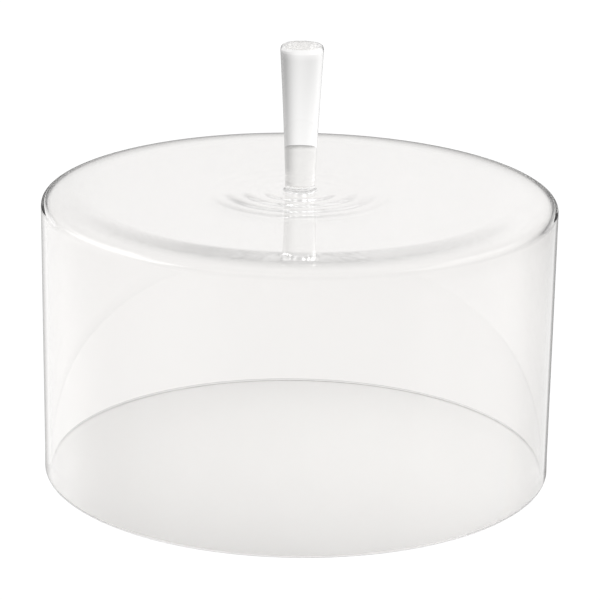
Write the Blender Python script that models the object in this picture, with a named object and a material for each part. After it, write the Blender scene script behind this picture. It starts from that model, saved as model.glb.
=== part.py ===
"""A clear glass cake dome: a straight-sided blown bell, open below, with a solid tapered handle fused on top.

Metres, +Z up. The origin is on the ground under the middle of the bell, on its axis.
Three separate solids: the bell, the pad of glass that fuses the joint, and the handle.
"""

import bpy
from math import cos, pi, sin

# Driving dimensions
RIM_RADIUS = 0.1400  # outside of the wall at the open rim
SHOULDER_RADIUS = 0.1408  # outside of the wall where the shoulder starts
BELL_HEIGHT = 0.1565  # the crest of the shoulder above the ground
TOP_RISE = 0.0013  # how much higher the top stands at its middle than at the crest
SHOULDER_REACH = 0.0120  # how far the shoulder's round runs in from the wall
SHOULDER_DROP = 0.0090  # how far it runs down from the crest
SHOULDER_POWER = 1.85  # 2 is an ellipse, and less is a little fuller towards a chamfer
WALL = 0.0028  # thickness of the straight wall
TOP_THICKNESS = 0.0030  # thickness of the top near the shoulder
BOSS_THICKNESS = 0.0030  # extra thickness under the joint, where the top is reheated
BOSS_RADIUS = 0.0380  # how far the extra thickness spreads
RIM_ROUND = 0.0009  # radius of the fire-polished edges of the rim

HANDLE_TOP = 0.2385  # the highest point of the object
HANDLE_FOOT_RADIUS = 0.0081
HANDLE_TOP_RADIUS = 0.0117
HANDLE_SWELL = 0.0003  # how much the handle's side bows in between its ends
HANDLE_EDGE_REACH = 0.0013  # how far the handle's rounded upper edge runs in from its side
HANDLE_EDGE_DROP = 0.0032  # how far it runs down from the end face
HANDLE_CROWN = 0.0003  # how much its end face is domed
HANDLE_FOOT_EDGE = 0.0002  # the softened lower edge

PAD_HEIGHT = 0.0012  # the fused joint, from the bell's top to the handle's foot
PAD_RADIUS = 0.0096  # its foot on the bell
GAP = 0.0003  # clearance between neighbouring solids

# Fineness of the turned surfaces
BELL_STEPS = 96
SMALL_STEPS = 48
SHOULDER_POINTS = 9
EDGE_POINTS = 5
TOP_POINTS = 7
AXIS_MERGE = 0.00001


def clear_scene():
    for item in list(bpy.data.objects):
        bpy.data.objects.remove(item)


def steps(count):
    """The numbers from 0 to 1, in count equal steps."""
    return [k / count for k in range(count + 1)]


def top_outside(radius):
    """Height of the top's outer surface: highest in the middle, level at the shoulder's crest."""
    crest_radius = SHOULDER_RADIUS - SHOULDER_REACH
    share = min(radius / crest_radius, 1.0)
    return BELL_HEIGHT + TOP_RISE * (1 - share * share)


def top_inside(radius):
    """Height of its underside, which hangs lower under the joint, as the glass is thicker there."""
    boss = BOSS_THICKNESS / (1 + (radius / BOSS_RADIUS) ** 4)
    return top_outside(radius) - TOP_THICKNESS - boss


def round_corner(centre, reach, drop, power, count):
    """A quarter turn from straight above centre to straight beside it."""
    points = []
    for share in steps(count):
        angle = share * pi / 2
        points.append((centre[0] + reach * sin(angle) ** (2 / power), centre[1] + drop * cos(angle) ** (2 / power)))
    return points


def rim_corner(centre, start):
    """A quarter of a circle on the rim, turning on from the angle start."""
    points = []
    for share in steps(EDGE_POINTS - 1):
        angle = start - share * pi / 2
        points.append((centre[0] + RIM_ROUND * cos(angle), centre[1] + RIM_ROUND * sin(angle)))
    return points


def bell_outline():
    """Half section of the bell, from the axis out over the top, down the wall, and back inside."""
    crest_radius = SHOULDER_RADIUS - SHOULDER_REACH
    points = []
    for share in steps(TOP_POINTS)[:-1]:
        points.append((share * crest_radius, top_outside(share * crest_radius)))
    corner = (crest_radius, BELL_HEIGHT - SHOULDER_DROP)
    points += round_corner(corner, SHOULDER_REACH, SHOULDER_DROP, SHOULDER_POWER, SHOULDER_POINTS)
    points += rim_corner((RIM_RADIUS - RIM_ROUND, RIM_ROUND), 0.0)
    points += rim_corner((RIM_RADIUS - WALL + RIM_ROUND, RIM_ROUND), -pi / 2)
    inner_corner = (crest_radius, BELL_HEIGHT - SHOULDER_DROP)
    inside = round_corner(
        inner_corner,
        SHOULDER_REACH - WALL,
        SHOULDER_DROP - TOP_THICKNESS,
        2.0,
        SHOULDER_POINTS - 2,
    )
    points += reversed(inside)
    for share in reversed(steps(TOP_POINTS * 2)[:-1]):
        points.append((share * crest_radius, top_inside(share * crest_radius)))
    return points


def pad_outline():
    """The fused joint: a low disc whose side sweeps in from its foot to the handle's radius."""
    under = top_outside(0.0) + GAP
    neck = HANDLE_FOOT_RADIUS
    flare = PAD_RADIUS - neck
    height = PAD_HEIGHT - GAP
    points = [(0.0, under + height)]
    for share in steps(EDGE_POINTS):
        angle = share * pi / 2
        points.append((neck + flare * (1 - cos(angle)), under + height * (1 - sin(angle))))
    points.append((0.0, under))
    return points


def handle_radius(share):
    """Radius of the handle's side, from its foot at 0 to its upper end at 1, a little waisted."""
    straight = HANDLE_FOOT_RADIUS + share * (HANDLE_TOP_RADIUS - HANDLE_FOOT_RADIUS)
    return straight - HANDLE_SWELL * sin(pi * share)


def handle_outline():
    """Half section of the handle: end face, rounded edge, tapered side and foot."""
    foot = top_outside(0.0) + PAD_HEIGHT + GAP
    shoulder = HANDLE_TOP - HANDLE_CROWN - HANDLE_EDGE_DROP
    flat = HANDLE_TOP_RADIUS - HANDLE_EDGE_REACH
    points = []
    for share in steps(2)[:-1]:
        points.append((share * flat, HANDLE_TOP - HANDLE_CROWN * share * share))
    points += round_corner((flat, shoulder), HANDLE_EDGE_REACH, HANDLE_EDGE_DROP, 2.0, EDGE_POINTS)
    for share in reversed(steps(SHOULDER_POINTS)[:-1]):
        height = foot + HANDLE_FOOT_EDGE + share * (shoulder - foot - HANDLE_FOOT_EDGE)
        points.append((handle_radius(share), height))
    points.append((HANDLE_FOOT_RADIUS - HANDLE_FOOT_EDGE, foot))
    points.append((0.0, foot))
    return points


def glass(name, tint, roughness):
    """Clear soda-lime glass with the faint green of its iron."""
    material = bpy.data.materials.new(name)
    material.use_nodes = True
    shader = material.node_tree.nodes["Principled BSDF"]
    shader.inputs["Base Color"].default_value = (*tint, 1.0)
    shader.inputs["Roughness"].default_value = roughness
    shader.inputs["Metallic"].default_value = 0.0
    shader.inputs["IOR"].default_value = 1.5
    shader.inputs["Transmission Weight"].default_value = 1.0
    return material


def turned(name, outline, turns, material):
    """A solid of revolution about +Z from its half section, as a live Screw modifier."""
    mesh = bpy.data.meshes.new(name)
    points = [(radius, 0.0, height) for radius, height in outline]
    mesh.from_pydata(points, [(k, k + 1) for k in range(len(points) - 1)], [])
    mesh.materials.append(material)
    solid = bpy.data.objects.new(name, mesh)
    bpy.context.scene.collection.objects.link(solid)
    screw = solid.modifiers.new("turn", "SCREW")
    screw.axis = "Z"
    screw.angle = 2 * pi
    screw.steps = turns
    screw.render_steps = turns
    screw.use_merge_vertices = True
    screw.merge_threshold = AXIS_MERGE
    screw.use_smooth_shade = True
    return solid


def build_bell():
    material = glass("bell_glass", (0.93, 0.95, 0.94), 0.0)
    return turned("bell", bell_outline(), BELL_STEPS, material)


def build_joint_pad():
    material = glass("joint_glass", (0.90, 0.93, 0.92), 0.02)
    return turned("joint_pad", pad_outline(), SMALL_STEPS, material)


def build_handle():
    material = glass("handle_glass", (0.92, 0.94, 0.93), 0.0)
    return turned("handle", handle_outline(), SMALL_STEPS, material)


clear_scene()
build_bell()
build_joint_pad()
build_handle()
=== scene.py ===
"""The looks of a clear blown-glass cake dome, standing on a white table in a soft white studio.

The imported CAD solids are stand-ins. Here the bell, the fused joint and the handle are finer turned
meshes in the same places, with the small unevenness of hand-blown glass. Where two pieces are fused,
the faces that touch are clear, so light passes on through them as through one body of glass.
"""

from collections import namedtuple
from math import cos, pi, radians, sin

import bpy
from mathutils import Matrix, Vector


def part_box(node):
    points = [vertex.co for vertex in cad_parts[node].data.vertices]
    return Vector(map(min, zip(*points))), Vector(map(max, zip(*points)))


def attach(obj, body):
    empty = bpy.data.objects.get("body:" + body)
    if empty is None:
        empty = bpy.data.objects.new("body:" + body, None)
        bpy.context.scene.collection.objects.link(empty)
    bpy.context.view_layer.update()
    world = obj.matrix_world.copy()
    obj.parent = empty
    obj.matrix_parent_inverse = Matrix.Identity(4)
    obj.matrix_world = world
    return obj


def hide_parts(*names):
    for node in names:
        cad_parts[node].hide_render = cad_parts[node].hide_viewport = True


# Shape of the bell, in metres. Its height, its width at the shoulder and the joint come from the frame.
WALL_FLARE = 0.0008  # how much wider the wall is at the shoulder than at the rim
TOP_RISE = 0.0006  # how much higher the top stands at its middle than where the shoulder starts
SHOULDER_REACH = 0.0315  # how far the shoulder's round runs in from the wall
SHOULDER_DROP = 0.0080  # how far it runs down from its start
SHOULDER_FLATNESS = 2.0  # how it leaves the top, and the next is how it runs into the wall: 2 is as an
SHOULDER_ROUNDNESS = 3.0  # ellipse does, and more is squarer
INSIDE_FLATNESS = 3.4  # the same two for the inner face
INSIDE_ROUNDNESS = 2.6
WALL = 0.0028  # thickness of the straight wall
TOP_THICKNESS = 0.0030  # thickness of the top near the shoulder
BOSS_THICKNESS = 0.0014  # extra thickness under the joint, where the top is reheated
BOSS_RADIUS = 0.0380  # how far the extra thickness spreads
BOSS_POWER = 4  # how suddenly it ends there
RIM_ROUND = 0.0009  # radius of the fire-polished edges of the rim

# Ripples that the hot joint leaves in the top, and the slow unevenness of blown glass
RIPPLE_REACH = 0.060  # they have died away at this radius
RIPPLE_LENGTH = 0.0110  # from crest to crest
RIPPLE_HEIGHT = 0.00003
UNDER_RIPPLE_HEIGHT = 0.00005
RIPPLE_LEAN = 0.7  # how much stronger they are on one side
RIPPLE_LEAN_TOWARDS = radians(250)
RIPPLE_RISES = 6  # they reach full height in one part in this many of their reach
RIPPLE_FADES = 1.6  # and fade over one part in this many of it
WALL_WAVER = 0.00012  # how far the wall strays from a true cylinder
RIM_TRUE = 0.004  # below this height it strays less and less, down to nothing at the rim

# The waves that make up the wall's straying: how many go round the wall, where they start, how much they
# twist per metre of height, and how much of the whole each is
Wave = namedtuple("Wave", "rounds start twist share")
WAVES = [
    Wave(2, 1.1, 0, 0.5),
    Wave(3, -0.7, 18, 0.3),
    Wave(5, 2.3, -31, 0.2),
]

# Shape of the handle and of the fused joint
HANDLE_SWELL = 0.0003  # how much the handle's side bows in between its ends
HANDLE_FOOT_RADIUS = 0.0081
HANDLE_EDGE_REACH = 0.0013  # how far the rounded upper edge runs in from the side
HANDLE_EDGE_DROP = 0.0032  # how far it runs down from the end face
HANDLE_CROWN = 0.0003  # how much the end face is domed

# Fineness of the turned meshes
TURNS = 192
TOP_STEP = 0.00075  # between points in the rippled part of the top
TOP_POINTS = 14
SHOULDER_POINTS = 26
WALL_POINTS = 16
RIM_POINTS = 8
HANDLE_POINTS = 24
EDGE_POINTS = 12
JOINT_POINTS = 8
ELLIPSE = 2.0  # the power of a plain elliptical corner
SHARP = radians(35)  # sharper edges than this keep a crease

# Glass. Each kind has its tint face on, the painted shade it darkens to edge on (which draws dark outlines
# where the glass turns away), how quickly one turns into the other, and how closely spaced its slight
# unevenness is.
Glass = namedtuple("Glass", "tint edge_tint edge_power unevenness")
BELL_GLASS = Glass((0.935, 0.930, 0.923), (0.55, 0.55, 0.54), 6.0, 9.0)
# the joint's glass is tinted darker than the rest, as painted shade for the grey ring at the handle's foot
JOINT_GLASS = Glass((0.82, 0.82, 0.82), (0.6, 0.6, 0.6), 6.0, 40.0)
HANDLE_GLASS = Glass((0.965, 0.965, 0.96), (0.45, 0.45, 0.45), 6.0, 30.0)
GLASS_IOR = 1.5
UNEVENNESS_HEIGHT = 0.00002

# Studio
WHITE_FOR_THE_CAMERA = 1.05
LIGHT_COLOUR = (1.0, 0.994, 0.993, 1.0)
LIGHT_BOUNCES = 96
CLEAR_BOUNCES = 32
FLOOR_SOLID = 0.1385  # the table is solid out to this radius, and has faded into the studio at the next one
FLOOR_FADED = 0.1402
FLOOR_LEVEL = -0.0002  # a hair under the rim, so that the two don't touch
FLOOR_ROUGHNESS = 0.9
FLOOR_COLOUR = (0.74, 0.736, 0.73, 1.0)
FLOOR_GLOW = 0.61  # the table is lit a little from below, as a light table is
FLOOR_SHADE_STARTS = 0.1360  # between these radii the glow dims, which makes the rim's contact shadow
FLOOR_SHADE_FULL = 0.1374
FLOOR_SHADE = 0.5  # how much of the glow is left in the shadow
FLOOR_PAINTED_LIGHT_SLOPE = (0.65, 0.30, 0.0)  # painted light: how much the glow grows per metre to the right and to the back, where the table is lit more

# The surroundings are cards of soft light, or of shade where the light is negative. A card's azimuth is 0
# straight behind the dome and positive to the right. It reaches half_width to each side, and from low to
# high above the level of the dome. All are in degrees, as is how soft its sides and its ends are.
Card = namedtuple("Card", "azimuth half_width low high side_edge level_edge light")
SURROUNDINGS = 0.60
DARKEST = 0.22  # no direction is darker than this
CARDS = [
    Card(-35, 60, -95, 40, 22, 15, 0.44),  # backdrop
    Card(-95, 50, -95, 60, 20, 20, 0.20),  # left surroundings
    Card(-48, 30, -95, -10.5, 14, 3, 0.12),  # white table on the left
    Card(75, 50, -95, -17, 12, 1.5, 0.25),  # white table on the right
    Card(82, 16, -95, -14, 14, 4, 0.24),  # its brightest part
    Card(-82, 16, -95, -14, 14, 4, -0.20),  # duller part of the table on the left
    Card(180, 80, -95, -8, 25, 6, 0.29),  # white table in front
    Card(0, 181, 45, 95, 1, 15, 0.30),  # ceiling
    Card(-80, 36, 23.5, 52, 5, 3, 1.7),  # softbox on the left
    Card(80, 38, 24, 55, 8, 5, 0.7),  # softbox on the right
    Card(35, 65, -9.6, 8, 20, 4, -0.33),  # dim horizon behind the table
    Card(-35, 27, -9.6, 8, 15, 4, -0.12),  # the same on the left
]

# Only the reflections see these
MIRRORED_CARDS = [
    Card(10, 55, -14.5, -2, 20, 1, -0.66),  # dark horizon behind the table
    Card(10, 60, -8, 9, 20, 8, -0.34),  # its soft upper edge
    Card(28, 22, -8, 9, 8, 6, -0.22),  # the same, darker on the right
    Card(10, 10, -95, -14.5, 4, 1, -0.80),  # dark edge of the table on the right
    Card(-12, 13, -95, -14.5, 9, 1, -0.60),  # the same on the left, softer
]

# Camera, from the middle of the dome's foot, in metres and degrees
AIM = (0.0009, 0.0, 0.0947)
CAMERA_DISTANCE = 1.6257
CAMERA_ELEVATION = radians(17.76)
CAMERA_ROLL = radians(0.89)
LENS = 177.14  # this and the sensor are in millimetres
SENSOR = 36.0
NEAREST = 0.05
FARTHEST = 50


def steps(count):
    """The numbers from 0 to 1, in count equal steps."""
    return [k / count for k in range(count + 1)]


def smooth(share):
    """An S-curve from 0 to 1."""
    share = min(max(share, 0.0), 1.0)
    return share * share * (3 - 2 * share)


class Dome:
    """Where things are: the sizes that come from the frame."""

    def __init__(self):
        low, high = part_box("bell")
        self.rim_radius = high.x - WALL_FLARE
        self.crest = high.z - TOP_RISE
        self.flat_radius = high.x - SHOULDER_REACH
        low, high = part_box("joint_pad")
        self.joint_radius = high.x
        low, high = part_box("handle")
        self.handle_foot = low.z
        self.handle_top = high.z
        self.handle_radius = high.x

    def top_outside(self, radius):
        share = min(radius / self.flat_radius, 1.0)
        return self.crest + TOP_RISE * (1 - share * share)

    def top_inside(self, radius):
        boss = BOSS_THICKNESS / (1 + (radius / BOSS_RADIUS) ** BOSS_POWER)
        return self.top_outside(radius) - TOP_THICKNESS - boss


def ripple(radius, angle, height, start):
    """How far the rings round the joint lift the glass. They begin at start and die away further out."""
    if radius <= start or radius >= RIPPLE_REACH:
        return 0.0
    out = (radius - start) / (RIPPLE_REACH - start)
    rising = smooth(out * RIPPLE_RISES)
    fading = smooth((1 - out) * RIPPLE_FADES)
    lean = 1 + RIPPLE_LEAN * cos(angle - RIPPLE_LEAN_TOWARDS)
    return height * rising * fading * lean * cos(2 * pi * (radius - start) / RIPPLE_LENGTH)


def waver(angle, height):
    """Slow unevenness of the blown wall, between -1 and 1."""
    return sum(wave.share * sin(wave.rounds * angle + wave.start + wave.twist * height) for wave in WAVES)


def round_corner(centre, reach, drop, flatness, roundness, count):
    """A quarter turn from straight above centre to straight beside it. Both 2s make it an ellipse."""
    points = []
    for share in steps(count):
        angle = share * pi / 2
        out = reach * sin(angle) ** (2 / flatness)
        up = drop * cos(angle) ** (2 / roundness)
        points.append((centre[0] + out, centre[1] + up))
    return points


def rim_corner(centre, start):
    """A quarter of a circle on the rim, turning on from the angle start."""
    points = []
    for share in steps(RIM_POINTS):
        angle = start - share * pi / 2
        points.append((centre[0] + RIM_ROUND * cos(angle), centre[1] + RIM_ROUND * sin(angle)))
    return points


def between(first, last, count):
    """Points between two points, without either of them."""
    points = []
    for share in steps(count)[1:-1]:
        points.append((first[0] + share * (last[0] - first[0]), first[1] + share * (last[1] - first[1])))
    return points


def top_radii(dome, start):
    """Radii from start to just before the shoulder, close together where the ripples are."""
    count = round((RIPPLE_REACH - start) / TOP_STEP)
    rippled = [start + share * (RIPPLE_REACH - start) for share in steps(count)]
    plain = [RIPPLE_REACH + share * (dome.flat_radius - RIPPLE_REACH) for share in steps(TOP_POINTS)[1:-1]]
    return rippled + plain


def bell_outside(dome):
    """Half section of the outer face, from the joint's foot out over the top and down to the rim."""
    points = [(radius, dome.top_outside(radius)) for radius in top_radii(dome, dome.joint_radius)]
    corner = (dome.flat_radius, dome.crest - SHOULDER_DROP)
    shoulder = round_corner(
        corner, SHOULDER_REACH, SHOULDER_DROP, SHOULDER_FLATNESS, SHOULDER_ROUNDNESS, SHOULDER_POINTS
    )
    rim = rim_corner((dome.rim_radius - RIM_ROUND, RIM_ROUND), 0.0)
    return points + shoulder + between(shoulder[-1], rim[0], WALL_POINTS) + rim


def bell_inside(dome):
    """Half section of the inner face, from the rim up the wall and in to the axis."""
    rim = rim_corner((dome.rim_radius - WALL + RIM_ROUND, RIM_ROUND), -pi / 2)
    corner = (dome.flat_radius, dome.crest - SHOULDER_DROP)
    reach = SHOULDER_REACH - WALL
    drop = dome.top_inside(dome.flat_radius) - corner[1]
    shoulder = round_corner(corner, reach, drop, INSIDE_FLATNESS, INSIDE_ROUNDNESS, SHOULDER_POINTS)
    shoulder.reverse()
    under = [(radius, dome.top_inside(radius)) for radius in reversed(top_radii(dome, TOP_STEP))]
    wall = between(rim[-1], shoulder[0], WALL_POINTS)
    return rim + wall + shoulder + under + [(0.0, dome.top_inside(0.0))]


def joint_side(dome):
    """Half section of the fused joint's side, sweeping up from the bell to the handle."""
    flare = dome.joint_radius - HANDLE_FOOT_RADIUS
    low = dome.top_outside(dome.joint_radius)
    height = dome.handle_foot - low
    points = []
    for share in steps(JOINT_POINTS):
        angle = share * pi / 2
        points.append((HANDLE_FOOT_RADIUS + flare * (1 - sin(angle)), low + height * (1 - cos(angle))))
    return points


def handle_side(dome):
    """Half section of the handle, from its foot up the side and over its end to the axis."""
    shoulder = dome.handle_top - HANDLE_CROWN - HANDLE_EDGE_DROP
    flat = dome.handle_radius - HANDLE_EDGE_REACH
    points = []
    for share in steps(HANDLE_POINTS)[:-1]:
        straight = HANDLE_FOOT_RADIUS + share * (dome.handle_radius - HANDLE_FOOT_RADIUS)
        height = dome.handle_foot + share * (shoulder - dome.handle_foot)
        points.append((straight - HANDLE_SWELL * sin(pi * share), height))
    edge = round_corner((flat, shoulder), HANDLE_EDGE_REACH, HANDLE_EDGE_DROP, ELLIPSE, ELLIPSE, EDGE_POINTS)
    points += reversed(edge)
    for share in reversed(steps(EDGE_POINTS)[:-1]):
        points.append((share * flat, dome.handle_top - HANDLE_CROWN * share * share))
    return points


def add_turned(name, outline, fused_faces, materials, bend=None):
    """A closed mesh turned about +Z. outline runs from the axis to the axis, counter-clockwise seen from +Y.

    fused_faces are the numbers of the outline's stretches that touch another piece: they take the second
    material. bend moves a point, given its radius, angle and height, to a new radius and height.
    """
    vertices = []
    rings = []
    for radius, height in outline:
        ring = []
        for k in range(TURNS if radius > 0 else 1):
            angle = 2 * pi * k / TURNS
            r, z = bend(radius, angle, height) if bend and radius > 0 else (radius, height)
            ring.append(len(vertices))
            vertices.append((r * cos(angle), r * sin(angle), z))
        rings.append(ring)
    faces = []
    slots = []
    for number, (ring, following) in enumerate(zip(rings, rings[1:])):
        for k in range(TURNS):
            after = (k + 1) % TURNS
            if len(ring) == 1:
                faces.append((ring[0], following[after], following[k]))
            elif len(following) == 1:
                faces.append((ring[k], ring[after], following[0]))
            else:
                faces.append((ring[k], ring[after], following[after], following[k]))
            slots.append(1 if number in fused_faces else 0)
    mesh = bpy.data.meshes.new(name)
    mesh.from_pydata(vertices, [], faces)
    mesh.polygons.foreach_set("material_index", slots)
    mesh.shade_smooth()
    mesh.set_sharp_from_angle(angle=SHARP)
    for material in materials:
        mesh.materials.append(material)
    piece = bpy.data.objects.new(name, mesh)
    bpy.context.scene.collection.objects.link(piece)
    return piece


def finish_piece(piece, node):
    """The piece stands for one CAD node and moves with the part's only body."""
    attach(piece, "root")
    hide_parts(node)


def build_bell(dome, materials):
    inside = bell_inside(dome)
    outside = bell_outside(dome)
    outline = [(0.0, dome.top_outside(dome.joint_radius))] + outside + inside
    outline = list(reversed(outline))

    def bend(radius, angle, height):
        """The wall strays, and the two faces of the top ripple, each by its own amount."""
        if radius > dome.flat_radius:
            share = smooth((dome.crest - height) / SHOULDER_DROP) * smooth(height / RIM_TRUE)
            return radius - WALL_WAVER * share * (1 + waver(angle, height)), height
        if height > dome.top_outside(radius) - TOP_THICKNESS / 2:
            return radius, height + ripple(radius, angle, RIPPLE_HEIGHT, dome.joint_radius)
        return radius, height + ripple(radius, angle, UNDER_RIPPLE_HEIGHT, dome.joint_radius)

    return add_turned("bell_glass_shell", outline, {len(outline) - 2}, materials, bend)


def build_joint(dome, materials):
    side = joint_side(dome)
    outline = [(0.0, side[0][1])] + side + [(0.0, side[-1][1])]
    return add_turned("fused_joint", outline, {0, len(outline) - 2}, materials)


def build_handle(dome, materials):
    side = handle_side(dome)
    outline = [(0.0, side[0][1])] + side
    return add_turned("tapered_handle", outline, {0}, materials)


def link(tree, output, socket):
    tree.links.new(output, socket)


def new_material(name):
    material = bpy.data.materials.new(name)
    material.use_nodes = True
    return material, material.node_tree, material.node_tree.nodes["Principled BSDF"]


def glass(name, kind):
    """Clear glass with painted shade edge on: its colour darkens where its faces turn away, which draws its
    dark outlines.
    """
    material, tree, shader = new_material(name)
    shader.inputs["Roughness"].default_value = 0.0
    shader.inputs["IOR"].default_value = GLASS_IOR
    shader.inputs["Transmission Weight"].default_value = 1.0
    facing = tree.nodes.new("ShaderNodeLayerWeight")
    facing.inputs["Blend"].default_value = 0.5
    sharper = tree.nodes.new("ShaderNodeMath")
    sharper.operation = "POWER"
    sharper.inputs[1].default_value = kind.edge_power
    link(tree, facing.outputs["Facing"], sharper.inputs[0])
    # painted shade: the glass's colour darkens towards its edge-on tint as its faces turn away
    mix = tree.nodes.new("ShaderNodeMix")
    mix.data_type = "RGBA"
    mix.inputs["A"].default_value = (*kind.tint, 1.0)
    mix.inputs["B"].default_value = (*kind.edge_tint, 1.0)
    link(tree, sharper.outputs[0], mix.inputs["Factor"])
    link(tree, mix.outputs["Result"], shader.inputs["Base Color"])
    place = tree.nodes.new("ShaderNodeTexCoord")
    noise = tree.nodes.new("ShaderNodeTexNoise")
    noise.inputs["Scale"].default_value = kind.unevenness
    noise.inputs["Detail"].default_value = 1.0
    link(tree, place.outputs["Object"], noise.inputs["Vector"])
    bump = tree.nodes.new("ShaderNodeBump")
    bump.inputs["Strength"].default_value = 1.0
    bump.inputs["Distance"].default_value = UNEVENNESS_HEIGHT
    link(tree, noise.outputs["Fac"], bump.inputs["Height"])
    link(tree, bump.outputs["Normal"], shader.inputs["Normal"])
    return material


def fused_face():
    """The faces inside a fused joint, which aren't there to see: the glass runs on through them."""
    material, _, shader = new_material("fused_face")
    shader.inputs["Alpha"].default_value = 0.0
    return material


def math_node(tree, operation, *values):
    """A Math node's output. Each value is a number or another node's output."""
    node = tree.nodes.new("ShaderNodeMath")
    node.operation = operation
    for socket, value in zip(node.inputs, values):
        if isinstance(value, (int, float)):
            socket.default_value = value
        else:
            link(tree, value, socket)
    return node.outputs[0]


def soft_step(tree, value, start, end):
    """1 below start and 0 above end, or the other way round if end is the smaller."""
    node = tree.nodes.new("ShaderNodeMapRange")
    node.interpolation_type = "SMOOTHSTEP"
    low, high = min(start, end), max(start, end)
    node.inputs["From Min"].default_value = low
    node.inputs["From Max"].default_value = high
    node.inputs["To Min"].default_value = 1.0 if start < end else 0.0
    node.inputs["To Max"].default_value = 0.0 if start < end else 1.0
    link(tree, value, node.inputs["Value"])
    return node.outputs["Result"]


def floor_material():
    """A white table that glows a little, with painted light that makes it brighter to the right and to the
    back and a painted contact shadow where the rim stands. It fades out under the rim.
    """
    material, tree, shader = new_material("white_table")
    shader.inputs["Base Color"].default_value = FLOOR_COLOUR
    shader.inputs["Roughness"].default_value = FLOOR_ROUGHNESS
    shader.inputs["Specular IOR Level"].default_value = 0.0
    shader.inputs["Emission Color"].default_value = FLOOR_COLOUR
    place = tree.nodes.new("ShaderNodeTexCoord")
    length = tree.nodes.new("ShaderNodeVectorMath")
    length.operation = "LENGTH"
    link(tree, place.outputs["Object"], length.inputs[0])
    # painted light: the glow grows towards the right and the back
    slope = tree.nodes.new("ShaderNodeVectorMath")
    slope.operation = "DOT_PRODUCT"
    slope.inputs[1].default_value = FLOOR_PAINTED_LIGHT_SLOPE
    link(tree, place.outputs["Object"], slope.inputs[0])
    glow = math_node(tree, "ADD", slope.outputs["Value"], FLOOR_GLOW)
    # painted contact shadow: the glow dims where the rim stands
    inside = soft_step(tree, length.outputs["Value"], FLOOR_SHADE_STARTS, FLOOR_SHADE_FULL)
    lit = math_node(tree, "MULTIPLY_ADD", inside, 1 - FLOOR_SHADE, FLOOR_SHADE)
    glow = math_node(tree, "MULTIPLY", glow, lit)
    link(tree, glow, shader.inputs["Emission Strength"])
    there = soft_step(tree, length.outputs["Value"], FLOOR_SOLID, FLOOR_FADED)
    link(tree, there, shader.inputs["Alpha"])
    return material


def build_floor():
    mesh = bpy.data.meshes.new("table")
    rim = []
    for k in range(TURNS):
        angle = 2 * pi * k / TURNS
        rim.append((FLOOR_FADED * cos(angle), FLOOR_FADED * sin(angle), 0.0))
    mesh.from_pydata(rim, [], [tuple(range(TURNS))])
    mesh.materials.append(floor_material())
    table = bpy.data.objects.new("table", mesh)
    table.location.z = FLOOR_LEVEL
    bpy.context.scene.collection.objects.link(table)


def card_light(tree, azimuth, elevation, card):
    """How much light one soft-edged card adds in a direction."""
    away = math_node(tree, "SUBTRACT", azimuth, radians(card.azimuth))
    away = math_node(tree, "ABSOLUTE", math_node(tree, "WRAP", away, pi, -pi))
    side, level = card.side_edge, card.level_edge
    across = soft_step(tree, away, radians(card.half_width - side), radians(card.half_width + side))
    below = soft_step(tree, elevation, radians(card.high - level), radians(card.high + level))
    above = soft_step(tree, elevation, radians(card.low + level), radians(card.low - level))
    shape = math_node(tree, "MULTIPLY", math_node(tree, "MULTIPLY", across, below), above)
    return math_node(tree, "MULTIPLY", shape, card.light)


def total_light(tree, azimuth, elevation, cards, first):
    """What all the cards add to the first light."""
    light = first
    for card in cards:
        light = math_node(tree, "ADD", card_light(tree, azimuth, elevation, card), light)
    return light


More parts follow.
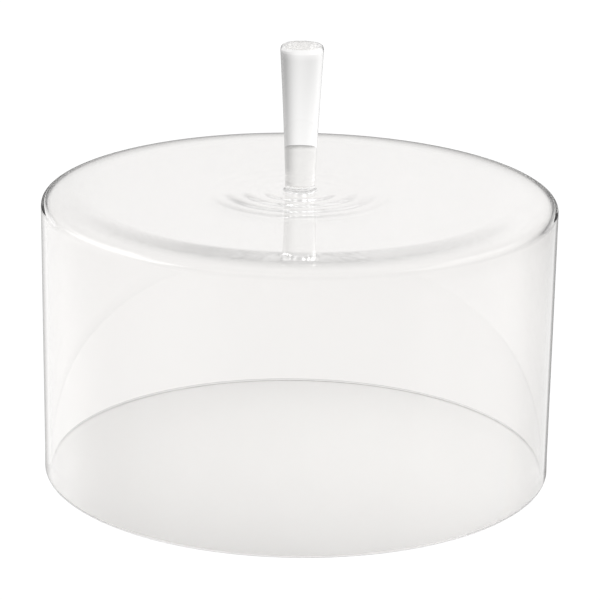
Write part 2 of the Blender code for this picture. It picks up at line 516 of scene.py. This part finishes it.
def build_studio():
    """Soft white surroundings made of large cards. The camera itself sees plain white behind the dome."""
    world = bpy.data.worlds.new("studio")
    bpy.context.scene.world = world
    world.use_nodes = True
    tree = world.node_tree
    tree.nodes.clear()
    direction = tree.nodes.new("ShaderNodeTexCoord")
    parts = tree.nodes.new("ShaderNodeSeparateXYZ")
    link(tree, direction.outputs["Generated"], parts.inputs[0])
    azimuth = math_node(tree, "ARCTAN2", parts.outputs["X"], parts.outputs["Y"])
    elevation = math_node(tree, "ARCSINE", parts.outputs["Z"])
    path = tree.nodes.new("ShaderNodeLightPath")
    light = total_light(tree, azimuth, elevation, CARDS, SURROUNDINGS)
    mirrored = total_light(tree, azimuth, elevation, MIRRORED_CARDS, 0.0)
    light = math_node(tree, "MULTIPLY_ADD", mirrored, path.outputs["Is Reflection Ray"], light)
    light = math_node(tree, "MAXIMUM", light, DARKEST)
    cards = tree.nodes.new("ShaderNodeBackground")
    cards.inputs["Color"].default_value = LIGHT_COLOUR
    link(tree, light, cards.inputs["Strength"])
    white = tree.nodes.new("ShaderNodeBackground")
    white.inputs["Color"].default_value = (1.0, 1.0, 1.0, 1.0)
    white.inputs["Strength"].default_value = WHITE_FOR_THE_CAMERA
    mix = tree.nodes.new("ShaderNodeMixShader")
    link(tree, path.outputs["Is Camera Ray"], mix.inputs["Fac"])
    link(tree, cards.outputs[0], mix.inputs[1])
    link(tree, white.outputs[0], mix.inputs[2])
    output = tree.nodes.new("ShaderNodeOutputWorld")
    link(tree, mix.outputs[0], output.inputs["Surface"])


def build_camera():
    data = bpy.data.cameras.new("camera")
    data.lens = LENS
    data.sensor_width = SENSOR
    data.clip_start = NEAREST
    data.clip_end = FARTHEST
    camera = bpy.data.objects.new("camera", data)
    bpy.context.scene.collection.objects.link(camera)
    forward = Vector((0, cos(CAMERA_ELEVATION), -sin(CAMERA_ELEVATION)))
    right = Vector((1, 0, 0))
    level = Matrix((right, right.cross(forward), -forward)).transposed().to_4x4()
    roll = Matrix.Rotation(CAMERA_ROLL, 4, "Z")
    camera.matrix_world = Matrix.Translation(Vector(AIM) - forward * CAMERA_DISTANCE) @ level @ roll
    bpy.context.scene.camera = camera


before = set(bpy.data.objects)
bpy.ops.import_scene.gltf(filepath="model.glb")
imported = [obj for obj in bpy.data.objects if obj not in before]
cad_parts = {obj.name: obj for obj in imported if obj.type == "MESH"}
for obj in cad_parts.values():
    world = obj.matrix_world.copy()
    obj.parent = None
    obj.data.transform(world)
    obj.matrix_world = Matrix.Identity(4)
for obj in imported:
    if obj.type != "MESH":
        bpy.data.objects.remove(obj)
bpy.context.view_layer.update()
dome = Dome()
fused = fused_face()
bell_glass = glass("bell_glass", BELL_GLASS)
joint_glass = glass("joint_glass", JOINT_GLASS)
handle_glass = glass("handle_glass", HANDLE_GLASS)
finish_piece(build_bell(dome, [bell_glass, fused]), "bell")
finish_piece(build_joint(dome, [joint_glass, fused]), "joint_pad")
finish_piece(build_handle(dome, [handle_glass, fused]), "handle")
build_floor()
build_studio()
build_camera()
scene = bpy.context.scene
scene.view_settings.view_transform = "Standard"
scene.cycles.max_bounces = LIGHT_BOUNCES
scene.cycles.transmission_bounces = LIGHT_BOUNCES
scene.cycles.glossy_bounces = LIGHT_BOUNCES
scene.cycles.transparent_max_bounces = CLEAR_BOUNCES
